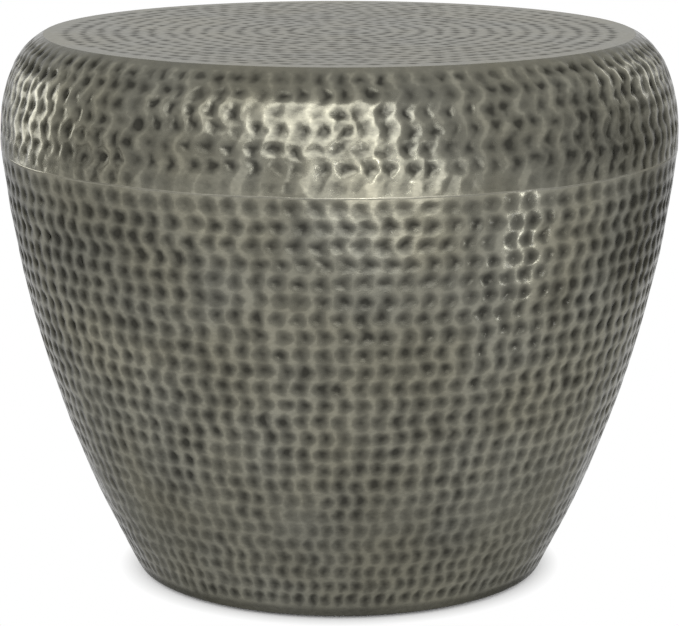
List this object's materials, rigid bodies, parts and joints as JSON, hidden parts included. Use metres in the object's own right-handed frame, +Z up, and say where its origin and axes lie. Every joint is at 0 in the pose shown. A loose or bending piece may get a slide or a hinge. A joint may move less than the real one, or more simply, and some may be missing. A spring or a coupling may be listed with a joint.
{
  "type": "drum side table",
  "caption": "Free-standing drum side table of hammered sheet metal with a flat round top, a rounded shoulder and a body that tapers to a rolled base edge.",
  "frame": {"origin": "on the floor, under the middle of the table", "axes": "+Z up along the drum's axis; +X along one of the crossed bars under the top and through the first foot pad"},
  "size_m": [0.5626, 0.5626, 0.4555],
  "materials": {
    "hammered_shell": "hand-hammered sheet, antique pewter patina, satin lacquer",
    "seam_metal": "dressed filler bead, patinated with the shell",
    "mill_bar": "mill-finish bar and strip, dull",
    "weld_metal": "rippled weld, undressed",
    "hem_wire": "drawn wire",
    "zinc_steel": "zinc plated",
    "pad_rubber": "moulded, matte"
  },
  "bodies": {
    "root": {"top_disc": "hammered_shell", "disc_tack_welds": "weld_metal", "top_brace_x": "mill_bar", "top_brace_y": "mill_bar", "brace_welds": "weld_metal", "shoulder_shell": "hammered_shell", "seam_bead": "seam_metal", "seam_band": "mill_bar", "body_shell": "hammered_shell", "hem_wire": "hem_wire", "base_ring": "mill_bar", "base_ring_welds": "weld_metal", "foot_washers": "zinc_steel", "foot_screws": "zinc_steel", "foot_nuts": "zinc_steel", "foot_pad_1": "pad_rubber", "foot_pad_2": "pad_rubber", "foot_pad_3": "pad_rubber", "foot_pad_4": "pad_rubber", "foot_pad_5": "pad_rubber", "foot_pad_6": "pad_rubber"}
  },
  "joints": []
}
